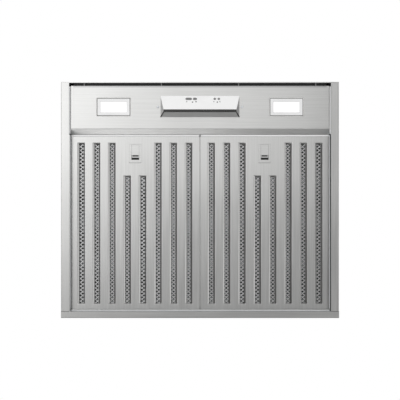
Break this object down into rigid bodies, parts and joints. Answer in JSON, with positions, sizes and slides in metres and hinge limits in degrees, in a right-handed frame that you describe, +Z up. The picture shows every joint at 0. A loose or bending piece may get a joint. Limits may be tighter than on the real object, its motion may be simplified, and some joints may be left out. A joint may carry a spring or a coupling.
{
  "type": "range hood insert",
  "caption": "Built-in range hood insert with hinged slotted grease filters, sliding latches, key panel, lamps, centrifugal blower and a duct collar with damper flaps.",
  "frame": {"origin": "centre of the cabinet cut-out, in the plane where the trim rails meet the cabinet", "axes": "+Z up into the cabinet, -Y towards the front of the hood, +X to the right of someone in front of it"},
  "size_m": [0.721, 0.612, 0.364],
  "materials": {
    "stainless_sheet": "brushed along the depth",
    "galvanised_sheet": "zinc coated, faint spangle",
    "zinc_fastener": "zinc plated",
    "aluminium_mesh": "expanded foil",
    "aluminium_flap": "mill finish",
    "white_fascia": "satin white",
    "silver_housing": "silver paint",
    "black_plastic": "fine grain",
    "key_grey": "satin",
    "circuit_board": "solder mask",
    "lamp_bezel_satin": "satin",
    "frosted_lens": "frosted",
    "lamp_tray_white": "moulded",
    "black_foam": "closed-cell foam",
    "motor_paint": "black paint",
    "capacitor_shell": "moulded"
  },
  "bodies": {
    "chassis": {"back_wall": "galvanised_sheet", "blower_chamber": "galvanised_sheet", "chamber_lid": "galvanised_sheet", "chassis_screws": "zinc_fastener", "control_board": "circuit_board", "control_box": "black_plastic", "control_fascia": "white_fascia", "control_housing": "silver_housing", "control_panel": "stainless_sheet", "damper_rod": "zinc_fastener", "duct_collar": "galvanised_sheet", "filter_rail_back": "stainless_sheet", "flange_back": "stainless_sheet", "flange_left": "stainless_sheet", "flange_right": "stainless_sheet", "front_wall": "stainless_sheet", "junction_box": "galvanised_sheet", "junction_box_cover": "galvanised_sheet", "lamp_bezel_left": "lamp_bezel_satin", "lamp_bezel_right": "lamp_bezel_satin", "lamp_body_left": "lamp_tray_white", "lamp_body_right": "lamp_tray_white", "lamp_lens_left": "frosted_lens", "lamp_lens_right": "frosted_lens", "latch_rail": "stainless_sheet", "led_board_left": "circuit_board", "led_board_right": "circuit_board", "motor": "motor_paint", "motor_bracket": "galvanised_sheet", "outlet_transition": "galvanised_sheet", "panel_gasket": "black_foam", "panel_screws": "zinc_fastener", "power_board": "circuit_board", "ridge_strip": "black_plastic", "roof_panel": "galvanised_sheet", "run_capacitor": "capacitor_shell", "scroll_side_left": "galvanised_sheet", "scroll_side_right": "galvanised_sheet", "scroll_wrapper": "galvanised_sheet", "side_wall_left": "galvanised_sheet", "side_wall_right": "galvanised_sheet", "wall_rivets": "zinc_fastener"},
    "filter_left": {"filter_face_left": "stainless_sheet", "filter_mesh_left": "aluminium_mesh", "filter_back_left": "galvanised_sheet", "latch_housing_left": "stainless_sheet"},
    "latch_left": {"latch_slide_left": "stainless_sheet"},
    "filter_right": {"filter_face_right": "stainless_sheet", "filter_mesh_right": "aluminium_mesh", "filter_back_right": "galvanised_sheet", "latch_housing_right": "stainless_sheet"},
    "latch_right": {"latch_slide_right": "stainless_sheet"},
    "blower_wheel": {"impeller": "galvanised_sheet", "motor_shaft": "zinc_fastener"},
    "front_flap": {"damper_flap_front": "aluminium_flap"},
    "rear_flap": {"damper_flap_rear": "aluminium_flap"},
    "fan_speed_key_cap": {"fan_speed_key": "key_grey"},
    "timer_key_cap": {"timer_key": "key_grey"},
    "light_key_high_cap": {"light_key_high": "key_grey"},
    "light_key_low_cap": {"light_key_low": "key_grey"}
  },
  "joints": [
    {"name": "filter_left_hinge", "type": "hinge", "parent": "chassis", "child": "filter_left", "pos_m": [-0.1692, 0.2842, 0.01], "axis": [1, 0, 0], "range_deg": [0, 45]},
    {"name": "latch_left_slide", "type": "slide", "parent": "filter_left", "child": "latch_left", "axis": [0, 1, 0], "range_m": [0, 0.008], "stiffness_N_per_m": 100, "springref_m": -0.01},
    {"name": "filter_right_hinge", "type": "hinge", "parent": "chassis", "child": "filter_right", "pos_m": [0.1692, 0.2842, 0.01], "axis": [1, 0, 0], "range_deg": [0, 45]},
    {"name": "latch_right_slide", "type": "slide", "parent": "filter_right", "child": "latch_right", "axis": [0, 1, 0], "range_m": [0, 0.008], "stiffness_N_per_m": 100, "springref_m": -0.01},
    {"name": "fan_speed_key_press", "type": "slide", "parent": "chassis", "child": "fan_speed_key_cap", "axis": [0, 0.4745, 0.8802], "range_m": [0, 0.0008], "stiffness_N_per_m": 400, "springref_m": -0.0015},
    {"name": "timer_key_press", "type": "slide", "parent": "chassis", "child": "timer_key_cap", "axis": [0, 0.4745, 0.8802], "range_m": [0, 0.0008], "stiffness_N_per_m": 400, "springref_m": -0.0015},
    {"name": "light_key_high_press", "type": "slide", "parent": "chassis", "child": "light_key_high_cap", "axis": [0, 0.4745, 0.8802], "range_m": [0, 0.0008], "stiffness_N_per_m": 400, "springref_m": -0.0015},
    {"name": "light_key_low_press", "type": "slide", "parent": "chassis", "child": "light_key_low_cap", "axis": [0, 0.4745, 0.8802], "range_m": [0, 0.0008], "stiffness_N_per_m": 400, "springref_m": -0.0015},
    {"name": "impeller_spin", "type": "hinge", "parent": "chassis", "child": "blower_wheel", "pos_m": [0, -0.03, 0.16], "axis": [1, 0, 0], "continuous": true},
    {"name": "rear_flap_swing", "type": "hinge", "parent": "chassis", "child": "rear_flap", "pos_m": [0, 0.07771, 0.317], "axis": [1, 0, 0], "range_deg": [0, 75]},
    {"name": "front_flap_swing", "type": "hinge", "parent": "chassis", "child": "front_flap", "pos_m": [0, 0.06971, 0.317], "axis": [-1, 0, 0], "range_deg": [0, 75]}
  ]
}
